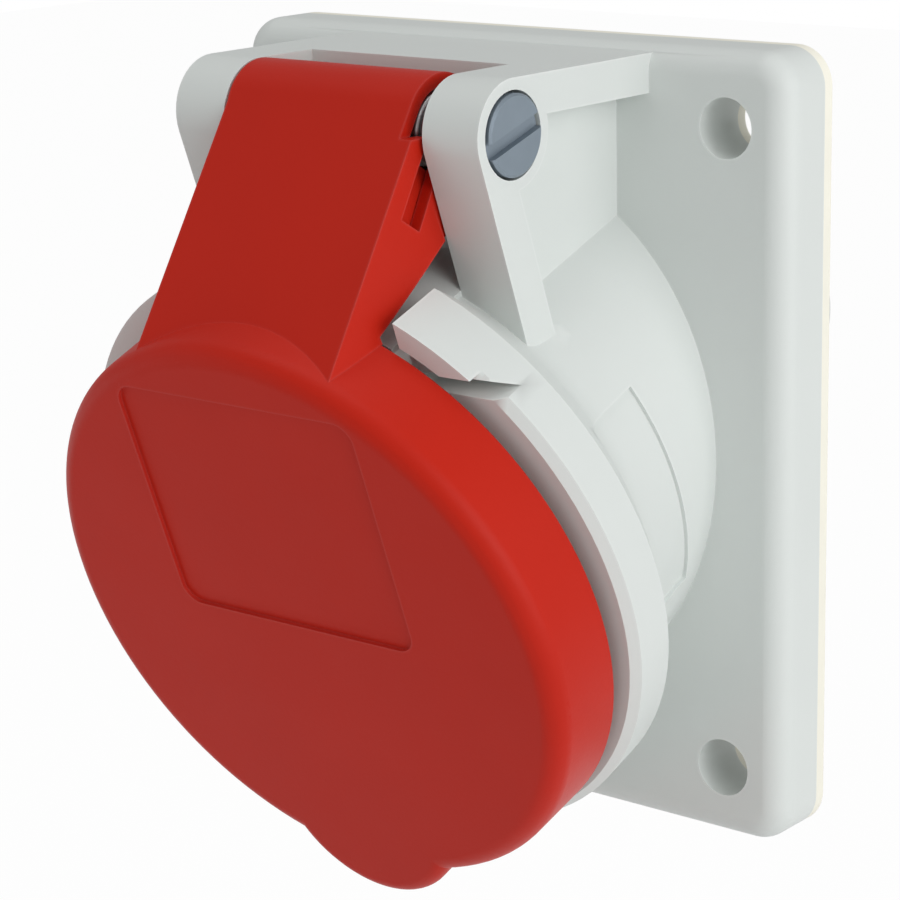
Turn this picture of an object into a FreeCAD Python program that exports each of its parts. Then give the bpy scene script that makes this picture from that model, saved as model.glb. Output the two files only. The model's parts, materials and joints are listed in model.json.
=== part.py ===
"""Angled panel socket, five pole, with a sprung splash lid.

Millimetres. +Z is up, the socket faces -Y, and the origin is the middle of the
panel plane, which is the rear face of the flange gasket. The mouth has a frame
of its own: its z runs outwards along the tilted axis, its y runs up across it,
and its origin is the centre of the collar's front rim.
"""
import FreeCAD, Part
import math
import os

V = FreeCAD.Vector

# Flange and its gasket
flange_side = 8.5
flange_end = 4.0
flange_thick = 7.2
flange_corner_r = 4.2
flange_edge_r = 2.8
gasket_thick = 1.4
hole_edge_x = 7.5
hole_edge_z = 8.0
mount_hole_d = 6.4

# Mouth: where its rim stands, and the walls around the plug
tilt_deg = 20.0
mouth_out = 33.5
mouth_drop = 10.0
bore_r = 26.9
neck_wall = 2.1
collar_step = 6.3
collar_len = 5.9
collar_taper = 6.25
collar_edge = 0.9
rim_edge = 0.5
taper_step = 0.6
taper_blend_r = 6.0
taper_tail = 6.0
rim_wall = 2.0
floor_depth = 31.0
floor_thick = 5.0

# Guards beside the lid, the notch at the right one's foot and the bay for the lid's arm
guard_gap = 0.35
guard_height = 1.1
guard_drop = 9.1
guard_drop_left = 20.0
notch_len = 2.6
notch_depth = 3.2
notch_top = 0.7
bay_side = 2.2
bay_floor_rise = 1.4
saddle_rise = 0.5
slit_width = 0.7
slit_depth = 2.0
slit_back = 0.8

# Keyway for the plug's nose
key_width = 8.0
key_depth = 2.3
key_wall = 1.9

# Bare recessed panel on the right of the neck
panel_from_deg = 62.5
panel_to_deg = 111.5
panel_front = 9.0
panel_rear = 19.7
panel_depth = 0.45

# Hinge turret: ears, arms, legs, webs and top plate
pin_back = 1.7
turret_drop = 0.8
ear_rim = 1.5
ear_inner = 13.4
ear_width = 7.0
web_width = 2.8
arm_depth = 4.2
leg_width = 4.6
leg_root = 8.0
turret_root = 1.0
plate_thick = 3.0
plate_gap = 2.7

# Hinge pin
pin_r = 2.5
pin_head_r = 4.2
pin_head_len = 3.4
pin_head_proud = 0.45
pin_head_edge = 0.25
pin_head_play = 0.3
pin_slot_width = 1.6
pin_slot_depth = 0.8
pin_slot_deg = 17.5
pin_tail_wall = 1.6

# Lid
lid_inset = 1.95
lid_draft = 0.25
lid_height = 9.8
lid_edge_r = 2.4
lid_rim_edge = 0.3
lid_wall = 2.1
lid_face = 2.2
lid_gap = 1.4
lid_sag = 1.05
label_half = 16.0
label_bottom = -0.4
label_top = 27.0
label_depth = 0.45
label_corner_r = 2.2
grip_r = 11.8
grip_centre = 25.1
grip_thick = 4.4
grip_edge_r = 1.7
grip_back_edge = 1.0

# Lid arm and barrel
arm_top_in = 0.5
arm_top_rear_in = 0.7
arm_foot_in = 0.3
arm_foot_rear_out = 0.95
arm_gusset = 6.0
arm_foot_inset = 2.9
arm_foot_sink = 2.0
arm_rear_rise = 0.6
arm_rear_reach = 8.3
arm_rear_dip = 2.3
arm_wall = 1.4
arm_side_shares = (-0.6, 1.5)
arm_side_depths = (-1, 3)
barrel_right_gap = 2.0
barrel_step_drop = 0.2
knuckle_len = 4.0
window_width = 2.9
window_len = 8.0
window_inset = 2.4
window_foot = 11.3

# Lid gasket
lid_seal_thick = 2.1
lid_seal_overlap = 1.3
lid_seal_gap = 0.5

# Hinge spring
spring_wire = 1.0
spring_bore_gap = 0.5
spring_turns = 4
spring_pitch = 1.12
spring_lid_leg = 9.0
spring_sides = 6

# Contact carrier, and the terminal body behind it
plug_gap = 6.5
carrier_front = 4.5
carrier_rear = 40.0
carrier_base = 3.0
terminal_end = 66.0
terminal_edge = 1.2
contact_edge = 8.2
entry_depth = 3.0
contact_bore_play = 0.2
entry_play = 0.5
earth_pin_d = 6.0
live_pin_d = 5.0
contacts = {
    "pe": (270.0, earth_pin_d),
    "n": (342.0, live_pin_d),
    "l1": (54.0, live_pin_d),
    "l2": (126.0, live_pin_d),
    "l3": (198.0, live_pin_d),
}

# Contact sleeves, spring rings and terminals
sleeve_wall = 1.0
sleeve_bore_stop = 12.0
sleeve_slot = 0.8
sleeve_slot_len = 13.0
stem_r = 2.2
stem_len = 9.0
ring_wall = 0.45
ring_len = 3.0
ring_back = 3.0
cage_side = 7.6
cage_len = 9.5
cage_wall = 1.4
wire_hole_r = 2.9
wire_funnel = 1.4
clamp_screw_r = 1.75
clamp_slot_width = 0.8
clamp_slot_depth = 0.9
clamp_access_r = 2.3
clamp_sink = 0.6

# Screws that hold the carrier and the terminal body
carrier_screw_r = 1.5
carrier_screw_bite = 3.8
carrier_screw_head_r = 2.6
carrier_screw_head = 1.9
body_screw_r = 2.0
body_screw_head_r = 3.6
body_screw_head = 2.4
body_screw_bite = 8.0
body_screw_seat = 15.0
screw_slot_width = 0.9
screw_slot_depth = 1.0

# Clearances
run_gap = 0.3
pin_play = 0.05
seat_play = 0.3
overcut = 1.0

# Tests on edges of the model
touching = 0.01
tiny = 1e-6
nearly_one = 0.9

neck_r = bore_r + neck_wall
rim_r = bore_r + rim_wall
collar_r = neck_r + collar_step
bay_floor_r = rim_r + bay_floor_rise
saddle_r = bay_floor_r + saddle_rise
guard_low = collar_r - guard_drop
notch_low = guard_low - notch_len

flange_back = -gasket_thick
flange_front = flange_back - flange_thick
flange_width = 2 * (neck_r + flange_side)
flange_height = 2 * (mouth_drop + neck_r + flange_end)
hole_spacing_x = flange_width - 2 * hole_edge_x
hole_spacing_z = flange_height - 2 * hole_edge_z

ear_r = pin_head_r + ear_rim
ear_outer = ear_inner + ear_width
web_outer = ear_inner + web_width
bay_half = ear_inner + bay_side
pin_out = mouth_out - pin_back
pin_up = flange_height / 2 - turret_drop - ear_r
ear_top = pin_up + ear_r
plate_front = -pin_out + ear_r + plate_gap

lid_r = collar_r - lid_inset
lid_seat = lid_gap + lid_height - lid_face
rim_height = lid_seat - run_gap - lid_seal_thick
lid_seal_inner = bore_r - lid_seal_overlap
lid_seal_outer = lid_r - lid_wall - lid_seal_gap
barrel_left = ear_inner - run_gap
barrel_right = ear_inner - barrel_right_gap
arm_foot_up = lid_r - lid_sag - arm_foot_inset
arm_foot_s = lid_gap + lid_height - arm_foot_sink
arm_rear_up = arm_foot_up + arm_rear_rise
arm_top_half = ear_inner - arm_top_in
arm_top_rear_half = ear_inner - arm_top_rear_in
arm_foot_half = ear_inner - arm_foot_in
arm_foot_rear_half = ear_inner + arm_foot_rear_out

spring_mean_r = pin_r + spring_bore_gap + spring_wire / 2
carrier_r = bore_r - plug_gap
pin_circle_r = carrier_r - contact_edge
carrier_screw_at = (carrier_r + bore_r - seat_play) / 2


def mouth_placement():
    """The mouth frame, seen from the part's own frame."""
    return FreeCAD.Placement(V(0, -mouth_out, -mouth_drop), FreeCAD.Rotation(V(1, 0, 0), 90 + tilt_deg))


def mouth_point(y, z):
    """A point of the YZ plane, as (up, out) in the mouth frame."""
    local = mouth_placement().inverse().multVec(V(0, y, z))
    return local.y, local.z


pin_u, pin_s = mouth_point(-pin_out, pin_up)


def place(shape):
    """Move a shape from the mouth frame to the part's frame."""
    moved = shape.copy()
    moved.transformShape(mouth_placement().toMatrix())
    return moved


def box(x0, x1, y0, y1, z0, z1):
    return Part.makeBox(x1 - x0, y1 - y0, z1 - z0, V(x0, y0, z0))


def rod(radius, length, base, direction=V(0, 0, 1)):
    return Part.makeCylinder(radius, length, base, direction)


def prism(points, direction):
    """A closed outline pulled along a direction."""
    wire = Part.makePolygon(points + [points[0]])
    return Part.Face(wire).extrude(direction)


def turned(edges):
    """A closed outline in the XZ plane, turned about the z axis."""
    face = Part.Face(Part.Wire(edges))
    return face.revolve(V(0, 0, 0), V(0, 0, 1), 360)


def outline(points):
    """Edges through (r, z) points; a point with a third value is rounded by that radius."""
    n = len(points)
    starts = []
    ends = []
    arcs = []
    for i, point in enumerate(points):
        here = V(point[0], 0, point[1])
        if len(point) < 3:
            starts.append(here)
            ends.append(here)
            arcs.append(None)
            continue
        before = V(points[i - 1][0], 0, points[i - 1][1])
        after = V(points[(i + 1) % n][0], 0, points[(i + 1) % n][1])
        a = (before - here).normalize()
        b = (after - here).normalize()
        half = math.acos(max(-1, min(1, a.dot(b)))) / 2
        reach = point[2] / math.tan(half)
        middle = (a + b).normalize() * (point[2] / math.sin(half) - point[2])
        starts.append(here + a * reach)
        ends.append(here + b * reach)
        arcs.append(here + middle)
    edges = []
    for i in range(n):
        if arcs[i] is not None:
            edges.append(Part.Arc(starts[i], arcs[i], ends[i]).toShape())
        tail = ends[i]
        head = starts[(i + 1) % n]
        if (head - tail).Length > tiny:
            edges.append(Part.LineSegment(tail, head).toShape())
    return edges


def rounded_plate(width, height, y0, y1, radius):
    """A plate across Y with rounded corners."""
    plate = box(-width / 2, width / 2, y0, y1, -height / 2, height / 2)
    corners = [e for e in plate.Edges if abs(e.tangentAt(e.FirstParameter).y) > nearly_one]
    return plate.makeFillet(radius, corners)


def mount_holes(y0, y1):
    holes = []
    for sx in (-1, 1):
        for sz in (-1, 1):
            base = V(sx * hole_spacing_x / 2, y0, sz * hole_spacing_z / 2)
            holes.append(rod(mount_hole_d / 2, y1 - y0, base, V(0, 1, 0)))
    return holes


def flange():
    plate = rounded_plate(flange_width, flange_height, flange_front, flange_back, flange_corner_r)
    front = [e for e in plate.Edges if e.BoundBox.YMax < flange_front + touching]
    return plate.makeFillet(flange_edge_r, front)


def neck():
    """The tilted tube, run through the flange to its end boss behind."""
    rear = floor_depth + floor_thick
    return flange().fuse(place(rod(neck_r, rear, V(0, 0, -rear))))


def collar_solid(shrink):
    """The collar and its taper, blended down to the neck."""
    foot = -collar_len - collar_taper
    return turned(outline([
        (0, 0), (collar_r - collar_edge - shrink, 0), (collar_r - shrink, -collar_edge),
        (collar_r - shrink, -collar_len), (neck_r + taper_step - shrink, foot, taper_blend_r),
        (neck_r - shrink, foot - taper_tail), (0, foot - taper_tail)]))


def rim():
    """The thin ring that the plug passes and the lid's seal closes on."""
    return turned(outline([
        (0, -overcut), (rim_r, -overcut), (rim_r, rim_height - rim_edge), (rim_r - rim_edge, rim_height),
        (0, rim_height)]))


def guards():
    """Raised lips of the collar beside the lid, hollowed to follow the lid's own round."""
    foot = -2 * collar_edge
    length = guard_height - foot
    ring = rod(collar_r, length, V(0, 0, foot))
    ring = ring.cut(rod(lid_r + guard_gap, length, V(0, -lid_sag, foot)))
    right = ring.common(box(0, collar_r, guard_low, collar_r, foot, guard_height))
    left = ring.common(box(-collar_r, 0, collar_r - guard_drop_left, collar_r, foot, guard_height))
    return [right, left]


def notch():
    """A cut under the right guard's end, kept off the sealing rim."""
    top = guard_height + overcut
    points = [(notch_low, -notch_depth), (notch_low, top), (guard_low, top), (guard_low, notch_top)]
    wedge = prism([V(0, up, out) for up, out in points], V(collar_r + overcut, 0, 0))
    return wedge.cut(rod(rim_r, 2 * (top + notch_depth), V(0, 0, -notch_depth - overcut)))


def lid_bay():
    """The gap in the collar that the lid's arm comes down into."""
    low = -collar_len - collar_taper
    gap = box(-bay_half, bay_half, 0, 2 * collar_r, low, collar_r)
    return gap.cut(rod(bay_floor_r, 2 * collar_r, V(0, 0, low - overcut)))


def saddle():
    """The slightly raised floor between the hinge legs, with a slit beside each."""
    rear = leg_front_s() - leg_width
    body = rod(saddle_r, -rear, V(0, 0, rear))
    body = body.common(box(-ear_inner, ear_inner, 0, collar_r, rear, 0))
    low = math.sqrt(saddle_r ** 2 - ear_inner ** 2) - slit_depth
    front = leg_front_s() - slit_back
    for side in (-1, 1):
        near = side * ear_inner
        far = side * (ear_inner - slit_width)
        body = body.cut(box(min(near, far), max(near, far), low, collar_r, rear - overcut, front))
    return body


def leg_front_s():
    return pin_s + ear_r


def keyway():
    reach = bore_r + key_depth
    return box(-key_width / 2, key_width / 2, -reach, 0, -floor_depth, rim_height + overcut)


def keyway_wall():
    half = key_width / 2 + key_wall
    reach = bore_r + key_depth + key_wall
    return box(-half, half, -reach, -bore_r, -floor_depth - floor_thick, -collar_len)


def side_panel():
    """Shallow band on the neck, between two angles down from the top."""
    far = 2 * neck_r
    a = math.radians(panel_from_deg)
    b = math.radians(panel_to_deg)
    band = rod(far, panel_rear - panel_front, V(0, 0, -panel_rear))
    band = band.cut(rod(neck_r - panel_depth, far, V(0, 0, -far)))
    band = band.cut(collar_solid(panel_depth))
    sector = prism([V(0, 0, -far), V(far * math.sin(a), far * math.cos(a), -far),
                    V(far, 0, -far), V(far * math.sin(b), far * math.cos(b), -far)], V(0, 0, 2 * far))
    return band.common(sector)


def side_profile(x0, x1, shapes):
    """Outlines in the YZ plane pulled from x0 to x1 and joined."""
    solids = [prism([V(x0, y, z) for y, z in points], V(x1 - x0, 0, 0)) for points in shapes]
    solid = solids[0]
    for other in solids[1:]:
        solid = solid.fuse(other)
    return solid


def world_yz(up, out):
    point = mouth_placement().multVec(V(0, up, out))
    return point.y, point.z


def ear_side(side):
    """One side of the turret: ear, arm, leg and the thinner web behind them."""
    front = leg_front_s()
    rear = flange_front + turret_root
    arm = [(-pin_out, ear_top), (rear, ear_top), (rear, ear_top - arm_depth), (-pin_out, ear_top - arm_depth)]
    leg_low = bore_r + neck_wall / 2 - leg_root
    leg = [world_yz(pin_u, front), world_yz(pin_u, front - leg_width),
           world_yz(leg_low, front - leg_width), world_yz(leg_low, front)]
    web = [(-pin_out, ear_top), (rear, ear_top), (rear, 0), world_yz(leg_low, front), world_yz(pin_u, front)]
    outer = side_profile(side * ear_inner, side * ear_outer, [arm, leg])
    inner = side_profile(side * ear_inner, side * web_outer, [web])
    start = min(side * ear_inner, side * ear_outer)
    ear = rod(ear_r, ear_outer - ear_inner, V(start, -pin_out, pin_up), V(1, 0, 0))
    return outer.fuse(inner).fuse(ear)


def top_plate():
    half = ear_inner + turret_root
    return box(-half, half, plate_front, flange_front + turret_root, ear_top - plate_thick, ear_top)


def pin_bores():
    """Head bore and shank bore on the right, blind shank bore on the left."""
    head_depth = pin_head_len - pin_head_proud
    tail = ear_outer - pin_tail_wall
    base = V(ear_outer - head_depth, -pin_out, pin_up)
    head = rod(pin_head_r + pin_head_play, head_depth + overcut, base, V(1, 0, 0))
    shank = rod(pin_r + pin_play, ear_outer + tail, V(-tail, -pin_out, pin_up), V(1, 0, 0))
    return [head, shank]


def housing():
    body = neck()
    for piece in [collar_solid(0), keyway_wall()] + guards():
        body = body.fuse(place(piece))
    body = body.cut(place(lid_bay()))
    body = body.cut(place(notch()))
    for piece in (saddle(), rim()):
        body = body.fuse(place(piece))
    for side in (-1, 1):
        body = body.fuse(ear_side(side))
    body = body.fuse(top_plate())
    depth = floor_depth
    tools = [place(rod(bore_r, depth + 3 * rim_height, V(0, 0, -depth))),
             place(rod(carrier_r + seat_play, 3 * depth, V(0, 0, overcut - 3 * depth))),
             place(keyway()), place(side_panel())]
    bite = carrier_screw_bite + seat_play
    tools += [place(rod(carrier_screw_r, bite, V(x, 0, -depth - bite))) for x in carrier_screw_places()]
    tools += pin_bores()
    tools += mount_holes(flange_front - overcut, flange_back + overcut)
    for tool in tools:
        body = body.cut(tool)
    return body.removeSplitter()


def flange_gasket():
    sheet = rounded_plate(flange_width, flange_height, flange_back, 0, flange_corner_r)
    reach = 3 * floor_depth
    sheet = sheet.cut(place(rod(neck_r + seat_play, 2 * reach, V(0, 0, -reach))))
    half = key_width / 2 + key_wall + seat_play
    low = bore_r + key_depth + key_wall + seat_play
    sheet = sheet.cut(place(box(-half, half, -low, 0, -reach, 0)))
    for hole in mount_holes(flange_back - overcut, overcut):
        sheet = sheet.cut(hole)
    return sheet


def lid_shift(shape):
    """Move a shape to the lid's own seat in front of the collar."""
    moved = shape.copy()
    moved.translate(V(0, -lid_sag, lid_gap))
    return moved


def lid_cup():
    """The lid's shell with its grip tab, and the hollow that is cut from it."""
    front = lid_r - lid_draft
    hollow = rod(lid_r - lid_wall, lid_height - lid_face + overcut, V(0, 0, -overcut))
    shell = turned(outline([(0, 0), (lid_r - lid_rim_edge, 0), (lid_r, lid_rim_edge),
                            (front, lid_height, lid_edge_r), (0, lid_height)]))
    low = lid_height - grip_thick
    tab = turned(outline([(0, low), (grip_r - grip_back_edge, low), (grip_r, low + grip_back_edge),
                          (grip_r, lid_height, grip_edge_r), (0, lid_height)]))
    tab.translate(V(0, -grip_centre, 0))
    return lid_shift(shell.fuse(tab)), lid_shift(hollow)


def label_recess():
    half = label_half
    face = lid_height - label_depth
    pad = box(-half, half, label_bottom, label_top, face, lid_height + overcut)
    corners = [e for e in pad.Edges if abs(e.tangentAt(e.FirstParameter).z) > nearly_one]
    return lid_shift(pad.makeFillet(label_corner_r, corners))


def arm_lines():
    """Plate line from its tangent on the barrel to its foot, in mouth (up, out) terms."""
    du = arm_foot_up - pin_u
    ds = arm_foot_s - pin_s
    reach = math.hypot(du, ds)
    lean = math.atan2(ds, -du)
    turn = math.asin(ear_r / reach)
    angle = lean - turn
    along = (-math.cos(angle), math.sin(angle))
    normal = (math.sin(angle), math.cos(angle))
    top = (pin_u + normal[0] * ear_r, pin_s + normal[1] * ear_r)
    return top, along, normal


def arm_sides(wall):
    """Block between the arm's side faces, which spread rearwards towards the lid.

    It runs past the arm by shares of the arm's length, and by gusset depths in front and behind.
    """
    top, along, normal = arm_lines()
    length = math.hypot(arm_foot_up - top[0], arm_foot_s - top[1])
    shallow, deepest = arm_side_depths
    wires = []
    for part in arm_side_shares:
        front = arm_top_half + (arm_foot_half - arm_top_half) * part - wall
        rear = arm_top_rear_half + (arm_foot_rear_half - arm_top_rear_half) * part - wall
        corners = []
        for side, deep in ((-1, shallow), (1, shallow), (1, deepest), (-1, deepest)):
            half = front + (rear - front) * deep
            depth = arm_gusset * deep
            corners.append(V(side * half, top[0] + along[0] * length * part - normal[0] * depth,
                             top[1] + along[1] * length * part - normal[1] * depth))
        wires.append(Part.makePolygon(corners + [corners[0]]))
    return Part.makeLoft(wires, True, True)


def arm_block(plate_wall, side_wall, rear_reach, low):
    """The arm's side profile between its side faces, or its hollow when walls are given."""
    top, along, normal = arm_lines()
    start = (top[0] - normal[0] * plate_wall, top[1] - normal[1] * plate_wall)
    foot_up = max(low, arm_foot_up - normal[0] * plate_wall)
    foot_s = start[1] + (foot_up - start[0]) * along[1] / along[0]
    points = [start, (foot_up, foot_s)]
    if foot_up > low:
        points.append((low, foot_s))
    points += [(low, lid_gap), (arm_rear_up - rear_reach, lid_gap),
               (pin_u - arm_rear_reach - rear_reach, pin_s + arm_rear_dip - plate_wall)]
    block = prism([V(-ear_outer, u, s) for u, s in points], V(2 * ear_outer, 0, 0))
    return block.common(arm_sides(side_wall))


def flank_cuts():
    """Room for the hinge legs on both sides of the arm."""
    reach = 2 * ear_r
    cuts = []
    for x in (ear_inner - run_gap, -ear_inner - reach):
        front = leg_front_s() + run_gap
        cuts.append(box(x, x + reach + run_gap, arm_foot_up, pin_u, pin_s - reach, front))
    return cuts


def barrel():
    base = V(-barrel_left, -pin_out, pin_up)
    return rod(ear_r, barrel_left + barrel_right, base, V(1, 0, 0))


def arm_window():
    """Slot through the right side wall, along the plate."""
    top, along, normal = arm_lines()
    near = window_inset
    far = window_inset + window_width

    def at(distance, depth):
        return V(arm_top_half - 2 * arm_wall, top[0] + along[0] * distance - normal[0] * depth,
                 top[1] + along[1] * distance - normal[1] * depth)

    start = window_foot - window_len
    points = [at(start, near), at(window_foot, near), at(window_foot, far), at(start, far)]
    return prism(points, V(4 * arm_wall, 0, 0))


def lid():
    shell, hollow = lid_cup()
    wall_top = lid_r - lid_sag
    arm = arm_block(0, 0, 0, wall_top - lid_wall - overcut)
    for cut in flank_cuts():
        arm = arm.cut(cut)
    body = place(shell.fuse(arm)).fuse(barrel())
    end_cut = box(barrel_right, ear_inner + overcut, -pin_out - 2 * ear_r, -pin_out + 2 * ear_r,
                  pin_up - barrel_step_drop, pin_up + 2 * ear_r)
    channel = arm_block(arm_wall, arm_wall, 2 * ear_r, wall_top)
    open_under = rod(ear_r - arm_wall, barrel_left + ear_outer - knuckle_len,
                     V(-barrel_left + knuckle_len, -pin_out, pin_up), V(1, 0, 0))
    bore = rod(pin_r + pin_play, 4 * ear_outer, V(-2 * ear_outer, -pin_out, pin_up), V(1, 0, 0))
    for tool in (place(hollow), end_cut, place(channel), open_under, bore,
                 place(label_recess()), place(arm_window())):
        body = body.cut(tool)
    return body.removeSplitter()


def lid_gasket():
    """Flat ring in the lid's face, just clear of the sealing rim."""
    base = V(0, -lid_sag, lid_seat - lid_seal_thick)
    ring = rod(lid_seal_outer, lid_seal_thick, base)
    return place(ring.cut(rod(lid_seal_inner, lid_seal_thick, base)))


def hinge_pin():
    head_x = ear_outer + pin_head_proud
    tail_x = -ear_outer + pin_tail_wall + run_gap
    shank = rod(pin_r, head_x - tail_x, V(tail_x, 0, 0), V(1, 0, 0))
    barrel_len = pin_head_len - pin_head_edge
    head = rod(pin_head_r, barrel_len, V(head_x - pin_head_len, 0, 0), V(1, 0, 0))
    tip = Part.makeCone(pin_head_r, pin_head_r - pin_head_edge, pin_head_edge,
                        V(head_x - pin_head_edge, 0, 0), V(1, 0, 0))
    half = pin_slot_width / 2
    slot = box(head_x - pin_slot_depth, head_x + overcut, -2 * pin_head_r, 2 * pin_head_r, -half, half)
    slot.rotate(V(0, 0, 0), V(1, 0, 0), pin_slot_deg)
    pin = shank.fuse(head).fuse(tip).cut(slot)
    pin.translate(V(0, -pin_out, pin_up))
    return pin.removeSplitter()


def hinge_spring():
    """Torsion spring round the pin: one leg lies in the lid's arm, the other meets the top plate."""
    along, normal = arm_lines()[1:]
    turn = mouth_placement().Rotation
    outward = turn.multVec(V(0, normal[0], normal[1]))
    down_arm = turn.multVec(V(0, along[0], along[1]))
    across = V(1, 0, 0)
    start_angle = math.degrees(math.atan2(outward.z, outward.y))
    height = spring_pitch * (spring_turns + (start_angle - 90) / 360)
    start = ear_inner - run_gap - spring_wire / 2 - height
    helix = Part.makeHelix(spring_pitch, height, spring_mean_r, 0, True)
    helix.Placement = FreeCAD.Placement(V(start, -pin_out, pin_up),
                                        FreeCAD.Rotation(outward, across.cross(outward), across, "ZXY"))
    edges = helix.Edges
    first = wire_section(edges[0], edges[0].FirstParameter, start)
    last = wire_section(edges[-1], edges[-1].LastParameter, start + height)
    coil = Part.Wire(edges).makePipeShell([first], True, True)
    rear_leg = plate_front + pin_out - run_gap
    coil = coil.fuse(Part.Face(first).extrude(down_arm * spring_lid_leg))
    return coil.fuse(Part.Face(last).extrude(V(0, rear_leg, 0)))


def wire_section(edge, parameter, x):
    """Polygon across the spring's wire at a place on its helix."""
    tip = edge.valueAt(parameter)
    out = (tip - V(x, -pin_out, pin_up)).normalize()
    side = edge.tangentAt(parameter).cross(out).normalize()
    corners = []
    for i in range(spring_sides):
        angle = 2 * math.pi * i / spring_sides
        corners.append(tip + (out * math.cos(angle) + side * math.sin(angle)) * (spring_wire / 2))
    return Part.makePolygon(corners + [corners[0]])


def contact_places():
    """Each contact's name, spot across the mouth and pin diameter."""
    for name, (degrees, pin_d) in contacts.items():
        angle = math.radians(degrees)
        yield name, pin_circle_r * math.cos(angle), pin_circle_r * math.sin(angle), pin_d


def sleeve_outer_r(pin_d):
    return pin_d / 2 + sleeve_wall


def carrier_screw_places():
    return -carrier_screw_at, carrier_screw_at


def many_sided(inner_r, x, y, z, length):
    """An eight-sided bar along z whose flats touch a given circle."""
    reach = inner_r / math.cos(math.pi / 8)
    points = []
    for i in range(8):
        angle = math.pi / 8 + i * math.pi / 4
        points.append(V(x + reach * math.cos(angle), y + reach * math.sin(angle), z))
    return prism(points, V(0, 0, length))


def contact_carrier():
    flange_top = -floor_depth + carrier_base
    flange_r = bore_r - seat_play
    body = turned(outline([
        (0, -carrier_rear), (carrier_r, -carrier_rear), (carrier_r, -floor_depth),
        (flange_r, -floor_depth), (flange_r, flange_top), (carrier_r, flange_top),
        (carrier_r, -carrier_front), (0, -carrier_front)]))
    for name, x, y, pin_d in contact_places():
        outer = sleeve_outer_r(pin_d) + ring_wall + contact_bore_play
        body = body.cut(rod(pin_d / 2 + entry_play, carrier_rear, V(x, y, -carrier_rear)))
        body = body.cut(many_sided(outer, x, y, -carrier_rear, carrier_rear - carrier_front - entry_depth))
    for x in carrier_screw_places():
        base = V(x, 0, -floor_depth - overcut)
        body = body.cut(rod(carrier_screw_r + seat_play, 2 * carrier_base, base))
    body = body.cut(rod(body_screw_r, body_screw_bite, V(0, 0, -carrier_rear)))
    return place(body)


def sleeve_tail():
    """Where the contact sleeves end, just inside the seam behind the carrier."""
    return -carrier_rear + seat_play


def contact_sleeve(x, y, pin_d):
    tail = sleeve_tail()
    front = -carrier_front - entry_depth - seat_play
    outer = sleeve_outer_r(pin_d)
    body = rod(outer, front - tail, V(x, y, tail))
    stop = tail + sleeve_bore_stop
    body = body.cut(rod(pin_d / 2, front - stop, V(x, y, stop)))
    half = sleeve_slot / 2
    reach = 2 * outer
    body = body.cut(box(x - half, x + half, y - reach, y + reach, front - sleeve_slot_len, front + overcut))
    return place(body.fuse(rod(stem_r, stem_len, V(x, y, tail - stem_len))))


def spring_rings():
    """Steel rings that press the slotted ends of the sleeves together."""
    low = -carrier_front - entry_depth - seat_play - ring_back - ring_len
    rings = []
    for name, x, y, pin_d in contact_places():
        outer = sleeve_outer_r(pin_d)
        ring = rod(outer + ring_wall, ring_len, V(x, y, low))
        rings.append(ring.cut(rod(outer, ring_len, V(x, y, low))))
    return place(Part.makeCompound(rings))


def at_contact(name, shape):
    """Turn a shape whose x points outwards, and move it to a contact's place."""
    degrees = contacts[name][0]
    turned_shape = shape.copy()
    turned_shape.translate(V(pin_circle_r, 0, 0))
    turned_shape.rotate(V(0, 0, 0), V(0, 0, 1), degrees)
    return turned_shape


def clamp_middle():
    return -carrier_rear - seat_play - cage_len / 2


def terminal_body():
    """Rear body: a chamber for each clamp cage, wire ways from behind and screw ways from the side."""
    body = turned(outline([
        (0, -terminal_end), (carrier_r - terminal_edge, -terminal_end),
        (carrier_r, -terminal_end + terminal_edge), (carrier_r, -carrier_rear), (0, -carrier_rear)]))
    half = cage_side / 2 + seat_play
    deep = cage_len + 2 * seat_play
    chamber = box(-half, half, -half, half, -carrier_rear - deep, -carrier_rear)
    wire_way = rod(wire_hole_r, terminal_end - carrier_rear, V(0, 0, -terminal_end))
    funnel = Part.makeCone(wire_hole_r + wire_funnel, wire_hole_r, wire_funnel, V(0, 0, -terminal_end))
    access = rod(clamp_access_r, carrier_r, V(0, 0, clamp_middle()), V(1, 0, 0))
    for name in contacts:
        for tool in (chamber, wire_way, funnel, access):
            body = body.cut(at_contact(name, tool))
    seat = -carrier_rear - body_screw_seat
    body = body.cut(rod(body_screw_r + seat_play, terminal_end, V(0, 0, -terminal_end)))
    body = body.cut(rod(body_screw_head_r + seat_play, terminal_end, V(0, 0, seat - terminal_end)))
    return place(body)


def terminal_cage(name):
    half = cage_side / 2
    low = -carrier_rear - seat_play - cage_len
    inner = half - cage_wall
    cage = box(-half, half, -half, half, low, low + cage_len)
    cage = cage.cut(box(-inner, inner, -inner, inner, low - overcut, low + cage_len + overcut))
    cage = cage.cut(rod(clamp_screw_r + pin_play, cage_side, V(0, 0, clamp_middle()), V(1, 0, 0)))
    return place(at_contact(name, cage))


def terminal_screws():
    """Slotted clamp screws, pointing inwards at the stems."""
    start = stem_r + 2 * pin_play
    end = contact_edge - clamp_sink
    middle = clamp_middle()
    half = clamp_slot_width / 2
    screw = rod(clamp_screw_r, end - start, V(start, 0, middle), V(1, 0, 0))
    slot = box(end - clamp_slot_depth, end + overcut, -carrier_r, carrier_r, middle - half, middle + half)
    screw = screw.cut(slot)
    return place(Part.makeCompound([at_contact(name, screw) for name in contacts]))


def headed_screw(shank_r, head_r, head_len, shank_len):
    """Slotted screw: its head stands on z = 0 and its shank points down."""
    body = rod(head_r, head_len, V(0, 0, 0)).fuse(rod(shank_r, shank_len, V(0, 0, -shank_len)))
    half = screw_slot_width / 2
    reach = 2 * head_r
    return body.cut(box(-half, half, -reach, reach, head_len - screw_slot_depth, head_len + overcut))


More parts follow.
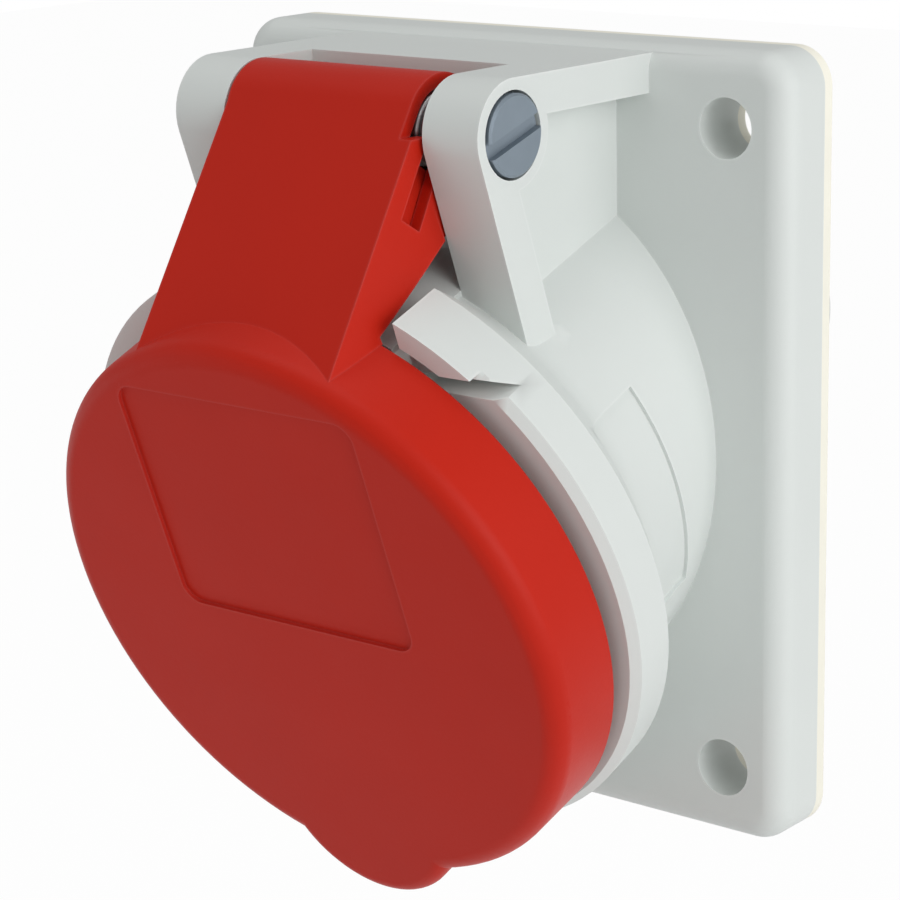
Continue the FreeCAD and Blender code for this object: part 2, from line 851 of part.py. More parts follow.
def carrier_screws():
    screws = []
    for x in carrier_screw_places():
        screw = headed_screw(carrier_screw_r, carrier_screw_head_r, carrier_screw_head,
                             carrier_base + carrier_screw_bite)
        screw.translate(V(x, 0, -floor_depth + carrier_base))
        screws.append(screw)
    return place(Part.makeCompound(screws))


def body_screw():
    """From behind, through the terminal body into the carrier."""
    screw = headed_screw(body_screw_r, body_screw_head_r, body_screw_head,
                         body_screw_seat + body_screw_bite - seat_play)
    screw.rotate(V(0, 0, 0), V(1, 0, 0), 180)
    screw.translate(V(0, 0, -carrier_rear - body_screw_seat))
    return place(screw)


def export(name, shape):
    shape.exportStep("parts/" + name + ".step")
    print(name, "solids", len(shape.Solids), "valid", shape.isValid(), "volume", round(shape.Volume, 1))


def main():
    os.makedirs("parts", exist_ok=True)
    export("housing", housing())
    export("flange_gasket", flange_gasket())
    export("lid", lid())
    export("lid_gasket", lid_gasket())
    export("hinge_pin", hinge_pin())
    export("hinge_spring", hinge_spring())
    export("contact_carrier", contact_carrier())
    for name, x, y, pin_d in contact_places():
        export("contact_sleeve_" + name, contact_sleeve(x, y, pin_d))
        export("terminal_cage_" + name, terminal_cage(name))
    export("contact_spring_rings", spring_rings())
    export("terminal_body", terminal_body())
    export("terminal_screws", terminal_screws())
    export("carrier_screws", carrier_screws())
    export("body_screw", body_screw())


main()
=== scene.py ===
"""Finishes, softened edges, hinge spring and studio for an angled panel socket.

Metres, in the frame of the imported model: +Z is up, the mouth faces -Y and is
tilted down, and the panel plane is Y = 0.
"""
import json
import math

import bmesh
import bpy
from bpy.props import FloatProperty, FloatVectorProperty, IntProperty, PointerProperty
from mathutils import Matrix, Vector


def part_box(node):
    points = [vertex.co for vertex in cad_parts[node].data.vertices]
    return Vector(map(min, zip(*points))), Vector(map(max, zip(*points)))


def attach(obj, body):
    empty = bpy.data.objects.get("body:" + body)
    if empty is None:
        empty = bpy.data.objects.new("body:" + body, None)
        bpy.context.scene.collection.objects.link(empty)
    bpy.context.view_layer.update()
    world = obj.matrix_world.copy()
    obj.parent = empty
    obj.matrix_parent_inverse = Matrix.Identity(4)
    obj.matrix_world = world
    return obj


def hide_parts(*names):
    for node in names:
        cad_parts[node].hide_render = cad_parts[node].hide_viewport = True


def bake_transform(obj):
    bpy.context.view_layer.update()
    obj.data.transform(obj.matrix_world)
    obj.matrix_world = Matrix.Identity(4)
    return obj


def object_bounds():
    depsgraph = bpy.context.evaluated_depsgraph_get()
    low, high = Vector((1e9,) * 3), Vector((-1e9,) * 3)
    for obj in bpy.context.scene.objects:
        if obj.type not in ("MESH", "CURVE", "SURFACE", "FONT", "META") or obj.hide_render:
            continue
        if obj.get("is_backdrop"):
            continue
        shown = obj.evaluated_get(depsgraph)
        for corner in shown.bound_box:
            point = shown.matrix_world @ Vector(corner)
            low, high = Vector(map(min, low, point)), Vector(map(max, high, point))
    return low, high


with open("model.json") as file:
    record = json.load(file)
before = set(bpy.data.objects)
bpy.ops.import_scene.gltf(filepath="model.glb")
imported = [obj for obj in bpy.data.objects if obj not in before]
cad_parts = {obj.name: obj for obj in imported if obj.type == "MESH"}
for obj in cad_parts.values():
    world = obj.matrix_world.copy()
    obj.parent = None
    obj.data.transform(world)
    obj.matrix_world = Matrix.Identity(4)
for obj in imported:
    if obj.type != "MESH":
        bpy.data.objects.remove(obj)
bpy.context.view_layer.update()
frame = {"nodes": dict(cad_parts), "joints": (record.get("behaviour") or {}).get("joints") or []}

bl_info = {
    "name": "Panel Socket Finish",
    "version": (1, 0, 0),
    "blender": (4, 5, 0),
    "location": "View3D > Sidebar > Socket",
    "description": "Moulded, metal and seal finishes for an angled panel socket, "
                   "with its spring and studio",
    "category": "Object",
}

MM = 0.001

# The pin, the mouth's direction and the contacts' names
HINGE = next(joint for joint in frame["joints"] if joint["name"] == "lid_hinge")
PIN_AXIS = Vector(HINGE["pos_m"])
ACROSS = Vector((1.0, 0.0, 0.0))
UPRIGHT = Vector((0.0, 0.0, 1.0))
TILT = math.radians(20.0)
MOUTH_OUT = Vector((0.0, -math.cos(TILT), -math.sin(TILT)))
CONTACTS = ("pe", "n", "l1", "l2", "l3")

# The lid's arm: along it from the pin, square out of its outer face, and its barrel's radius
ARM_DOWN = Vector((0.0, -0.5283, -0.8491))
ARM_OUT = Vector((0.0, ARM_DOWN.z, -ARM_DOWN.y))
BARREL_R = 5.7 * MM

# The rib in the lid's arm: from where to where along the arm and in from the barrel's outer
# side, and how far across from the pin's middle its corners lie, since the arm flares
RIB_SPAN = (4.7 * MM, 12.4 * MM)
RIB_DEPTH = (1.3 * MM, 6.2 * MM)
RIB_ACROSS = (11.42 * MM, 11.52 * MM, 11.98 * MM, 11.42 * MM)
RIB_THICK = 0.7 * MM
RIB_ROUNDING = 0.12 * MM

# Meshes: corners closer than TOUCHING are one, and so are faces that turn less than FLAT.
# Edges that turn more than a piece's own angle are rounded, and the rest stay crisp from CREASE
TOUCHING = 0.002 * MM
FLAT = math.radians(0.4)
CREASE = math.radians(29.0)
ROUND_FROM = math.radians(50.0)
LID_ROUND_FROM = math.radians(30.0)

# A rounding takes this share of the room beside its edge, and along the edges it grows by at
# most this much from the narrowest at its ends, in each pass
ROOM_SHARE = 0.3
EASING = 1.5
EASING_PASSES = 3

# Steps round one turn of the spring, and sides of its wire
COIL_STEPS = 48
WIRE_SIDES = 16

# How often each surface pattern repeats in a metre
BLOTCHES = 55.0
FLOW_MARKS = 140.0
SEAL_MOTTLE = 900.0
SEAL_CLOUDS = 70.0
METAL_CLOUDS = 260.0
TOOL_LINES = 9000.0
FLOOR_CLOUDS = 6.0

# Roughness of each surface, from its glossiest spots to its dullest
HOUSING_ROUGH = (0.40, 0.56)
LID_ROUGH = (0.36, 0.50)
CARRIER_ROUGH = (0.34, 0.50)
TERMINAL_ROUGH = (0.40, 0.56)
SEAL_ROUGH = (0.62, 0.85)
PIN_ROUGH = (0.42, 0.60)
WIRE_ROUGH = (0.30, 0.44)
CONTACT_ROUGH = (0.20, 0.34)
CAGE_ROUGH = (0.25, 0.40)
SCREW_ROUGH = (0.28, 0.42)

# Mouldings: how wide, how sharply and how strongly a painted highlight lightens their edges, how
# often coarse waves come under the grain for each of its pits, and the pits' share in its height
# and gloss
EDGE_HIGHLIGHT_RADIUS = 0.5 * MM
EDGE_HIGHLIGHT_CONTRAST = 5.0
EDGE_HIGHLIGHT_COVER = 0.6
COARSE_WAVES = 0.31
PITS_IN_HEIGHT = 0.7
PITS_IN_GLOSS = 0.6

# Seals: relief, shine, and how far their tone falls and rises
SEAL_RELIEF = 0.02 * MM
SEAL_SPECULAR = 0.3
SEAL_TONES = (0.93, 1.03)

# Metal: relief of its tool lines, how far they run out along their length, and its bloom
LINE_RELIEF = 0.004 * MM
LINE_STRETCH = 0.04
METAL_TINT = 0.12

# Floor: how far below the part, half its side, its greys and roughness, and how white the
# camera sees it
FLOOR_DROP = 0.10
FLOOR_HALF = 1.5
FLOOR_GREY = (0.86, 0.86, 0.86)
FLOOR_GREYS = ((0.84, 0.84, 0.84), (0.88, 0.88, 0.88))
FLOOR_ROUGH = 0.9
FLOOR_WHITENESS = 0.97

# Lamps: the setting that holds the power, the place from the part's middle, and the side
LAMPS = (
    ("key", Vector((0.55, -0.18, 0.22)), 0.45),
    ("side", Vector((0.60, 0.0, 0.05)), 0.45),
    ("top", Vector((-0.05, -0.10, 0.60)), 0.50),
    ("fill", Vector((-0.50, -0.45, 0.05)), 0.55),
)

# Camera, fitted to the flange's corners, the holes, the pin and the mouth
SENSOR_MM = 36.0
FOCAL_MM = 114.31
NEAREST = 0.01
CAMERA_PLACE = Vector((0.19277, -0.25366, 0.07787))
CAMERA_RIGHT = Vector((0.77756, 0.62848, -0.02048))
CAMERA_UP = Vector((-0.14343, 0.20898, 0.96735))


# Sizes and colours that a user would change

class MouldedSkin(bpy.types.PropertyGroup):
    """Colours and surface of the moulded and sealing parts."""
    housing: FloatVectorProperty(
        name="Housing grey", description="Colour of the flange, neck and hinge turret",
        subtype="COLOR", default=(0.70, 0.735, 0.715), min=0.0, max=1.0)
    lid: FloatVectorProperty(
        name="Lid red", description="Colour of the lid, its arm and barrel",
        subtype="COLOR", default=(0.53, 0.018, 0.007), min=0.0, max=1.0)
    terminal: FloatVectorProperty(
        name="Terminal grey", description="Colour of the rear terminal body",
        subtype="COLOR", default=(0.62, 0.65, 0.64), min=0.0, max=1.0)
    carrier: FloatVectorProperty(
        name="Carrier colour", description="Colour of the contact carrier in the mouth",
        subtype="COLOR", default=(0.045, 0.046, 0.05), min=0.0, max=1.0)
    flange_seal: FloatVectorProperty(
        name="Flange seal", description="Colour of the sheet seal behind the flange",
        subtype="COLOR", default=(0.93, 0.91, 0.80), min=0.0, max=1.0)
    lid_seal: FloatVectorProperty(
        name="Lid seal", description="Colour of the ring seal inside the lid",
        subtype="COLOR", default=(0.03, 0.03, 0.032), min=0.0, max=1.0)
    grain: FloatProperty(
        name="Grain size", description="Distance between the bumps of the moulding's texture",
        default=0.42 * MM, min=0.05 * MM, max=5 * MM, unit="LENGTH")
    grain_depth: FloatProperty(
        name="Grain depth", description="Height of the moulding's texture",
        default=0.012 * MM, min=0.0, max=0.5 * MM, unit="LENGTH")


class MetalFinish(bpy.types.PropertyGroup):
    """Colours of the pin, springs, contacts and screws."""
    pin: FloatVectorProperty(
        name="Pin steel", description="Blue-grey passivated steel of the hinge pin",
        subtype="COLOR", default=(0.25, 0.30, 0.35), min=0.0, max=1.0)
    spring: FloatVectorProperty(
        name="Spring steel", description="Drawn wire of the hinge spring and contact rings",
        subtype="COLOR", default=(0.62, 0.63, 0.64), min=0.0, max=1.0)
    brass: FloatVectorProperty(
        name="Contact brass", description="Turned brass of the contact sleeves",
        subtype="COLOR", default=(0.72, 0.50, 0.20), min=0.0, max=1.0)
    nickel: FloatVectorProperty(
        name="Cage nickel", description="Plated steel of the terminal cages",
        subtype="COLOR", default=(0.66, 0.65, 0.60), min=0.0, max=1.0)
    zinc: FloatVectorProperty(
        name="Screw zinc", description="Zinc plate on the screws",
        subtype="COLOR", default=(0.60, 0.61, 0.62), min=0.0, max=1.0)


class EdgeSizes(bpy.types.PropertyGroup):
    """How far the moulded and turned edges are rounded."""
    moulded: FloatProperty(
        name="Moulded edges", description="Rounding of the housing's and lid's edges",
        default=0.34 * MM, min=0.0, max=2 * MM, unit="LENGTH")
    seal: FloatProperty(
        name="Seal edges", description="Rounding of the seals' and inserts' edges",
        default=0.20 * MM, min=0.0, max=1 * MM, unit="LENGTH")
    metal: FloatProperty(
        name="Metal edges", description="Rounding of turned and pressed edges",
        default=0.12 * MM, min=0.0, max=1 * MM, unit="LENGTH")
    segments: IntProperty(
        name="Segments", description="Faces across a rounded edge", default=3, min=1, max=6)


class SpringSizes(bpy.types.PropertyGroup):
    """The torsion spring that closes the lid."""
    wire: FloatProperty(
        name="Wire", description="Diameter of the spring wire",
        default=1.0 * MM, min=0.1 * MM, max=5 * MM, unit="LENGTH")
    radius: FloatProperty(
        name="Coil radius", description="Radius of the wire's middle line",
        default=3.5 * MM, min=1 * MM, max=20 * MM, unit="LENGTH")
    pitch: FloatProperty(
        name="Pitch", description="Distance from one turn to the next",
        default=1.12 * MM, min=0.2 * MM, max=10 * MM, unit="LENGTH")
    turns: IntProperty(
        name="Turns", description="Whole turns of the coil, to which the part turn between "
                                  "the legs is added",
        default=4, min=1, max=30)
    lid_leg: FloatProperty(
        name="Lid leg", description="Length of the leg that lies down the lid's arm",
        default=9.0 * MM, min=1 * MM, max=50 * MM, unit="LENGTH")


class StudioLight(bpy.types.PropertyGroup):
    """Lamps and backdrop."""
    key: FloatProperty(
        name="Key", description="Power of the high lamp on the right", default=1.1, min=0.0,
        unit="POWER")
    side: FloatProperty(
        name="Side", description="Power of the low lamp on the right", default=1.05, min=0.0,
        unit="POWER")
    top: FloatProperty(
        name="Top", description="Power of the lamp overhead", default=1.05, min=0.0,
        unit="POWER")
    fill: FloatProperty(
        name="Fill", description="Power of the lamp on the left", default=0.42, min=0.0,
        unit="POWER")
    surround: FloatProperty(
        name="Surround", description="Strength of the even light from all round",
        default=0.38, min=0.0)


class SocketSettings(bpy.types.PropertyGroup):
    """All the settings of the panel socket."""
    skin: PointerProperty(type=MouldedSkin)
    metal: PointerProperty(type=MetalFinish)
    edges: PointerProperty(type=EdgeSizes)
    spring: PointerProperty(type=SpringSizes)
    studio: PointerProperty(type=StudioLight)


def settings():
    """The settings that the scene carries."""
    return bpy.context.scene.panel_socket


# Shader and geometry trees

def feed(tree, value, socket):
    """Link a value to an input if it is another node's socket, or else set the input to it."""
    if isinstance(value, bpy.types.NodeSocket):
        tree.links.new(value, socket)
    else:
        socket.default_value = value


def add(tree, kind, inputs=(), **fields):
    """A new node with its fields set, and its inputs given by name or number."""
    node = tree.nodes.new(kind)
    for field, value in fields.items():
        setattr(node, field, value)
    for socket, value in dict(inputs).items():
        feed(tree, value, node.inputs[socket])
    return node


def maths(tree, operation, first, second):
    """The result of a sum on two values."""
    return add(tree, "ShaderNodeMath", {0: first, 1: second}, operation=operation).outputs[0]


def mixed(tree, first, second, share):
    """A share of the first value, and the second for the rest."""
    return maths(tree, "ADD", maths(tree, "MULTIPLY", first, share),
                 maths(tree, "MULTIPLY", second, 1.0 - share))


def spread(tree, value, low, high):
    """Map 0..1 to low..high."""
    spreader = add(tree, "ShaderNodeMapRange", {"Value": value, "To Min": low, "To Max": high})
    return spreader.outputs["Result"]


def noise(tree, where, scale, detail=2.0, roughness=0.5):
    """An uneven pattern from 0 to 1, with its repeats in a metre as its scale."""
    node = add(tree, "ShaderNodeTexNoise", {"Vector": where, "Scale": scale, "Detail": detail,
                                            "Roughness": roughness})
    return node.outputs["Fac"]


def new_tree(name, kind, inputs, outputs):
    """An empty node group with its named sockets, and its input and output nodes."""
    tree = bpy.data.node_groups.new(name, kind)
    for label, socket in inputs:
        tree.interface.new_socket(label, in_out="INPUT", socket_type=socket)
    for label, socket in outputs:
        tree.interface.new_socket(label, in_out="OUTPUT", socket_type=socket)
    return tree, tree.nodes.new("NodeGroupInput"), tree.nodes.new("NodeGroupOutput")


def use_group(tree, build, inputs):
    """A node that uses a group, which is built the first time that it is asked for."""
    group = bpy.data.node_groups.get(build.__name__) or build(build.__name__)
    return add(tree, "ShaderNodeGroup", inputs, node_tree=group)


def eroded_grain(name):
    """Spark-eroded moulding texture: its height, a faint blotching and its change of gloss."""
    tree, source, result = new_tree(
        name, "ShaderNodeTree", [("Vector", "NodeSocketVector"), ("Size", "NodeSocketFloat")],
        [("Height", "NodeSocketFloat"), ("Tone", "NodeSocketFloat"),
         ("Gloss", "NodeSocketFloat")])
    where = source.outputs["Vector"]
    per_metre = maths(tree, "DIVIDE", 1.0, source.outputs["Size"])
    pits = noise(tree, where, per_metre, detail=3.0, roughness=0.55)
    coarse = noise(tree, where, maths(tree, "MULTIPLY", per_metre, COARSE_WAVES))
    blotches = noise(tree, where, BLOTCHES, detail=3.0)
    flow = noise(tree, where, FLOW_MARKS, detail=1.0)
    tree.links.new(mixed(tree, pits, coarse, PITS_IN_HEIGHT), result.inputs["Height"])
    tree.links.new(blotches, result.inputs["Tone"])
    tree.links.new(mixed(tree, pits, flow, PITS_IN_GLOSS), result.inputs["Gloss"])
    return tree


def edge_rub(name):
    """A mask of the sharp edges that get a painted highlight: where a rounded normal turns away
    from the true one.
    """
    tree, source, result = new_tree(
        name, "ShaderNodeTree", [("Rounded", "NodeSocketVector"), ("True", "NodeSocketVector"),
                                 ("Spread", "NodeSocketFloat")],
        [("Mask", "NodeSocketFloat")])
    near = add(tree, "ShaderNodeVectorMath",
               {0: source.outputs["Rounded"], 1: source.outputs["True"]},
               operation="DOT_PRODUCT").outputs["Value"]
    scaled = add(tree, "ShaderNodeMath",
                 {0: maths(tree, "SUBTRACT", 1.0, near), 1: source.outputs["Spread"]},
                 operation="MULTIPLY", use_clamp=True)
    tree.links.new(scaled.outputs[0], result.inputs["Mask"])
    return tree


def drawn_lines(name):
    """Fine lines across one direction, as turning and drawing leave them."""
    tree, source, result = new_tree(
        name, "ShaderNodeTree",
        [("Vector", "NodeSocketVector"), ("Fineness", "NodeSocketFloat")],
        [("Height", "NodeSocketFloat"), ("Tone", "NodeSocketFloat")])
    where = source.outputs["Vector"]
    along = add(tree, "ShaderNodeVectorMath",
                {0: where, 1: (LINE_STRETCH, LINE_STRETCH, 1.0)},
                operation="MULTIPLY").outputs["Vector"]
    lines = noise(tree, along, source.outputs["Fineness"], roughness=0.6)
    tree.links.new(lines, result.inputs["Height"])
    tree.links.new(noise(tree, where, METAL_CLOUDS, detail=3.0), result.inputs["Tone"])
    return tree


def new_material(name, colour):
    """An empty node material with its Principled shader and Object coordinates."""
    material = bpy.data.materials.new(name)
    material.use_nodes = True
    material.diffuse_color = (*colour, 1.0)
    tree = material.node_tree
    tree.nodes.clear()
    output = tree.nodes.new("ShaderNodeOutputMaterial")
    shader = tree.nodes.new("ShaderNodeBsdfPrincipled")
    tree.links.new(shader.outputs["BSDF"], output.inputs["Surface"])
    where = tree.nodes.new("ShaderNodeTexCoord").outputs["Object"]
    return material, tree, shader, where


def cover(tree, shader, base, rough, height, depth):
    """Link a shader's colour, roughness and relief."""
    tree.links.new(base, shader.inputs["Base Color"])
    tree.links.new(rough, shader.inputs["Roughness"])
    bump = add(tree, "ShaderNodeBump", {"Height": height, "Distance": depth, "Strength": 1.0})
    tree.links.new(bump.outputs["Normal"], shader.inputs["Normal"])


def blend_colour(tree, factor, first, second):
    """From the first colour to the second as the factor goes from 0 to 1."""
    node = add(tree, "ShaderNodeMix", data_type="RGBA")
    sockets = [socket for socket in node.inputs if socket.enabled]
    for socket, value in zip(sockets, (factor, first, second)):
        feed(tree, (*value, 1.0) if isinstance(value, tuple) else value, socket)
    return next(socket for socket in node.outputs if socket.enabled)


def shade(colour, amount):
    """A colour made darker or lighter by a factor."""
    return tuple(min(1.0, channel * amount) for channel in colour)


def moulded_plastic(name, colour, rough, tint, depth=1.0, specular=0.5, highlight_strength=0.0):
    """Satin moulding with an eroded grain, faint flow blotches and, where asked, a painted
    highlight on its sharp edges.
    """
    skin = settings().skin
    material, tree, shader, where = new_material(name, colour)
    grain = use_group(tree, eroded_grain, {"Vector": where, "Size": skin.grain}).outputs
    base = blend_colour(tree, grain["Tone"], shade(colour, 1.0 - tint),
                        shade(colour, 1.0 + tint))
    # Painted highlight: the sharp edges are lightened toward white, as if they caught the light
    if highlight_strength:
        rounded = add(tree, "ShaderNodeBevel", {"Radius": EDGE_HIGHLIGHT_RADIUS}, samples=6)
        true = tree.nodes.new("ShaderNodeNewGeometry")
        mask = use_group(tree, edge_rub, {
            "Rounded": rounded.outputs["Normal"], "True": true.outputs["Normal"],
            "Spread": EDGE_HIGHLIGHT_CONTRAST}).outputs["Mask"]
        pale = tuple(channel + (1.0 - channel) * highlight_strength for channel in colour)
        base = blend_colour(tree, maths(tree, "MULTIPLY", mask, EDGE_HIGHLIGHT_COVER), base, pale)
    cover(tree, shader, base, spread(tree, grain["Gloss"], *rough), grain["Height"],
          skin.grain_depth * depth)
    shader.inputs["Specular IOR Level"].default_value = specular
    return material


def soft_seal(name, colour):
    """Matt elastomer with a fine dusty mottle."""
    material, tree, shader, where = new_material(name, colour)
    mottle = noise(tree, where, SEAL_MOTTLE, detail=4.0, roughness=0.6)
    clouds = noise(tree, where, SEAL_CLOUDS)
    base = blend_colour(tree, clouds, *(shade(colour, tone) for tone in SEAL_TONES))
    cover(tree, shader, base, spread(tree, mottle, *SEAL_ROUGH), mottle, SEAL_RELIEF)
    shader.inputs["Specular IOR Level"].default_value = SEAL_SPECULAR
    return material


def worked_metal(name, colour, rough, axis, metallic=1.0):
    """Metal with fine tool lines round an axis, and a plated or drawn bloom."""
    material, tree, shader, where = new_material(name, colour)
    turn = UPRIGHT.rotation_difference(axis).inverted().to_euler()
    turned = add(tree, "ShaderNodeMapping", {"Vector": where, "Rotation": turn})
    lines = use_group(tree, drawn_lines, {"Vector": turned.outputs["Vector"],
                                          "Fineness": TOOL_LINES}).outputs
    base = blend_colour(tree, lines["Tone"], shade(colour, 1.0 - METAL_TINT),
                        shade(colour, 1.0 + METAL_TINT))
    cover(tree, shader, base, spread(tree, lines["Tone"], *rough), lines["Height"],
          LINE_RELIEF)
    shader.inputs["Metallic"].default_value = metallic
    return material


# Meshes

def new_object(name, data):
    """A new object at the origin, linked to the scene."""
    thing = bpy.data.objects.new(name, data)
    bpy.context.scene.collection.objects.link(thing)
    return thing


def settle(piece):
    """Keep what a piece's modifiers make of it as its plain mesh."""
    bpy.context.view_layer.update()
    graph = bpy.context.evaluated_depsgraph_get()
    shape = bpy.data.meshes.new_from_object(
        piece.evaluated_get(graph), preserve_all_data_layers=True, depsgraph=graph)
    piece.modifiers.clear()
    old = piece.data
    piece.data = shape
    bpy.data.meshes.remove(old)


def room_beside(edge, face):
    """How far one face reaches from an edge before its next corner or its far side."""
    start, end = (vertex.co for vertex in edge.verts)
    along = (end - start).normalized()
    room = edge.calc_length() * 2
    for corner in face.verts:
        if corner not in edge.verts:
            offset = corner.co - start
            away = (offset - along * offset.dot(along)).length
            if away > TOUCHING:
                room = min(room, away)
    return room


def mark_sharp_edges(work, width, angle):
    """Weight each sharp edge by the rounding that it has room for, easing off along the edge."""
    layer = work.edges.layers.float.new("bevel_weight_edge")
    sharp = []
    for edge in work.edges:
        if len(edge.link_faces) != 2:
            continue
        turn = edge.calc_face_angle(0.0)
        edge.smooth = turn < CREASE or turn > angle
        if turn > angle:
            sharp.append(edge)
    for edge in sharp:
        room = min(room_beside(edge, face) for face in edge.link_faces)
        edge[layer] = min(1.0, ROOM_SHARE * room / width)
    for _ in range(EASING_PASSES):
        eased = {}
        for edge in sharp:
            near = [other[layer] for vertex in edge.verts for other in vertex.link_edges
                    if other[layer] > 0.0]
            eased[edge] = min(edge[layer], EASING * min(near))
        for edge, weight in eased.items():
            edge[layer] = weight


def softened(node, width, segments, angle):
    """A copy of a node's solid with its sharp edges rounded over, as a plain object."""
    mesh = frame["nodes"][node].data.copy()
    work = bmesh.new()
    work.from_mesh(mesh)
    bmesh.ops.remove_doubles(work, verts=work.verts, dist=TOUCHING)
    bmesh.ops.dissolve_degenerate(work, edges=work.edges, dist=TOUCHING)
    bmesh.ops.dissolve_limit(work, angle_limit=FLAT, verts=work.verts, edges=work.edges)
    mark_sharp_edges(work, width, angle)
    work.to_mesh(mesh)
    work.free()
    mesh.materials.clear()
    piece = new_object(node + "_soft", mesh)
    rounding = piece.modifiers.new("rounding", "BEVEL")
    rounding.width = width
    rounding.segments = segments
    rounding.limit_method = "WEIGHT"
    rounding.use_clamp_overlap = False
    rounding.miter_outer = "MITER_ARC"
    weighting = piece.modifiers.new("weighting", "WEIGHTED_NORMAL")
    weighting.keep_sharp = True
    mesh.shade_smooth()
    settle(piece)
    return piece


def dress(node, material):
    """Give a node that keeps its own mesh a material."""
    data = frame["nodes"][node].data
    data.materials.clear()
    data.materials.append(material)


def stand_for(node, piece, material):
    """Make a piece take a node's place, in its material slot."""
    piece.data.materials.clear()
    piece.data.materials.append(material)
    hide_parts(node)


def soften_node(node, material, width, body="housing", angle=ROUND_FROM):
    """Put a rounded copy of a node's solid in its place."""
    piece = softened(node, width, settings().edges.segments, angle)
    stand_for(node, piece, material)
    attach(piece, body)


def window_rib():
    """The rib inside the lid's arm that closes the window in its right side."""
    head = PIN_AXIS + ARM_OUT * BARREL_R
    top, end = RIB_SPAN
    outer, inner = RIB_DEPTH
    places = ((top, outer), (end, outer), (end, inner), (top, inner))
    right = [head + ACROSS * side + ARM_DOWN * down - ARM_OUT * deep
             for side, (down, deep) in zip(RIB_ACROSS, places)]
    corners = [corner - ACROSS * RIB_THICK for corner in right] + right
    walls = [(i, 4 + i, 4 + (i + 1) % 4, (i + 1) % 4) for i in range(4)]
    mesh = bpy.data.meshes.new("lid_arm_rib")
    mesh.from_pydata(corners, [], [(0, 1, 2, 3), (7, 6, 5, 4)] + walls)
    work = bmesh.new()
    work.from_mesh(mesh)
    bmesh.ops.recalc_face_normals(work, faces=work.faces)
    bmesh.ops.bevel(work, geom=work.edges, offset=RIB_ROUNDING, segments=2, affect="EDGES")
    work.to_mesh(mesh)
    work.free()
    return new_object("lid_arm_rib", mesh)


# Geometry Nodes: the hinge spring

def spring_tree():
    """A round wire along a coil and two straight legs, turned to the pin's axis."""
    tree, source, result = new_tree("torsion_spring", "GeometryNodeTree", [
        ("Wire Radius", "NodeSocketFloat"), ("Coil Radius", "NodeSocketFloat"),
        ("Height", "NodeSocketFloat"), ("Turns", "NodeSocketFloat"),
        ("Start", "NodeSocketVector"), ("Start Turn", "NodeSocketFloat"),
        ("Lid Leg Start", "NodeSocketVector"), ("Lid Leg End", "NodeSocketVector"),
        ("Rear Leg Start", "NodeSocketVector"), ("Rear Leg End", "NodeSocketVector"),
        ("Material", "NodeSocketMaterial")], [("Geometry", "NodeSocketGeometry")])
    put = source.outputs
    coil = add(tree, "GeometryNodeCurveSpiral", {
        "Resolution": COIL_STEPS, "Rotations": put["Turns"],
        "Start Radius": put["Coil Radius"], "End Radius": put["Coil Radius"],
        "Height": put["Height"], "Reverse": False})
    spin = add(tree, "ShaderNodeCombineXYZ", {"Z": put["Start Turn"]})
    spun = add(tree, "GeometryNodeTransform", {
        "Geometry": coil.outputs["Curve"], "Rotation": spin.outputs["Vector"]})
    laid = add(tree, "GeometryNodeTransform", {
        "Geometry": spun.outputs["Geometry"], "Rotation": (0.0, math.pi / 2, 0.0),
        "Translation": put["Start"]})
    paths = [laid.outputs["Geometry"]]
    for leg in ("Lid Leg", "Rear Leg"):
        line = add(tree, "GeometryNodeCurvePrimitiveLine", {
            "Start": put[leg + " Start"], "End": put[leg + " End"]})
        paths.append(line.outputs["Curve"])
    section = add(tree, "GeometryNodeCurvePrimitiveCircle", {
        "Resolution": WIRE_SIDES, "Radius": put["Wire Radius"]})
    joined = tree.nodes.new("GeometryNodeJoinGeometry")
    for path in paths:
        wire = add(tree, "GeometryNodeCurveToMesh", {
            "Curve": path, "Profile Curve": section.outputs["Curve"], "Fill Caps": True})
        tree.links.new(wire.outputs["Mesh"], joined.inputs["Geometry"])
    real = add(tree, "GeometryNodeRealizeInstances", {"Geometry": joined.outputs["Geometry"]})
    smooth = add(tree, "GeometryNodeSetShadeSmooth", {"Geometry": real.outputs["Geometry"]})
    coated = add(tree, "GeometryNodeSetMaterial", {
        "Geometry": smooth.outputs["Geometry"], "Material": put["Material"]})
    tree.links.new(coated.outputs["Geometry"], result.inputs["Geometry"])
    return tree


def grown(name, tree, values):
    """Run a geometry tree on an empty mesh object, and keep the result as its plain mesh."""
    piece = new_object(name, bpy.data.meshes.new(name))
    maker = piece.modifiers.new("maker", "NODES")
    maker.node_group = tree
    for item in tree.interface.items_tree:
        if item.item_type == "SOCKET" and item.in_out == "INPUT" and item.name in values:
            maker[item.identifier] = values[item.name]
    settle(piece)
    return piece


# Operators: one for each piece or group of like pieces

class SOCKET_OT_housing(bpy.types.Operator):
    """Finish the housing moulding: flange, neck, collar and hinge turret"""
    bl_idname = "socket.housing"
    bl_label = "Housing"

    def execute(self, context):
        setup = settings()
        # The housing's sharp edges get a painted highlight, lightened 0.35 of the way to white
        skin = moulded_plastic("housing_grey_skin", setup.skin.housing[:], HOUSING_ROUGH,
                               tint=0.02, highlight_strength=0.35)
        soften_node("housing", skin, setup.edges.moulded)
        return {"FINISHED"}


class SOCKET_OT_lid(bpy.types.Operator):
    """Finish the red lid with its arm, barrel and grip"""
    bl_idname = "socket.lid"
    bl_label = "Lid"

    def execute(self, context):
        setup = settings()
        # The lid's sharp edges get a faint painted highlight, lightened 0.06 of the way to white
        skin = moulded_plastic("lid_red_skin", setup.skin.lid[:], LID_ROUGH, tint=0.05,
                               depth=1.4, specular=0.13, highlight_strength=0.06)
        soften_node("lid", skin, setup.edges.moulded, body="lid",
                    angle=LID_ROUND_FROM)
        rib = window_rib()
        rib.data.materials.append(skin)
        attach(rib, "lid")
        return {"FINISHED"}


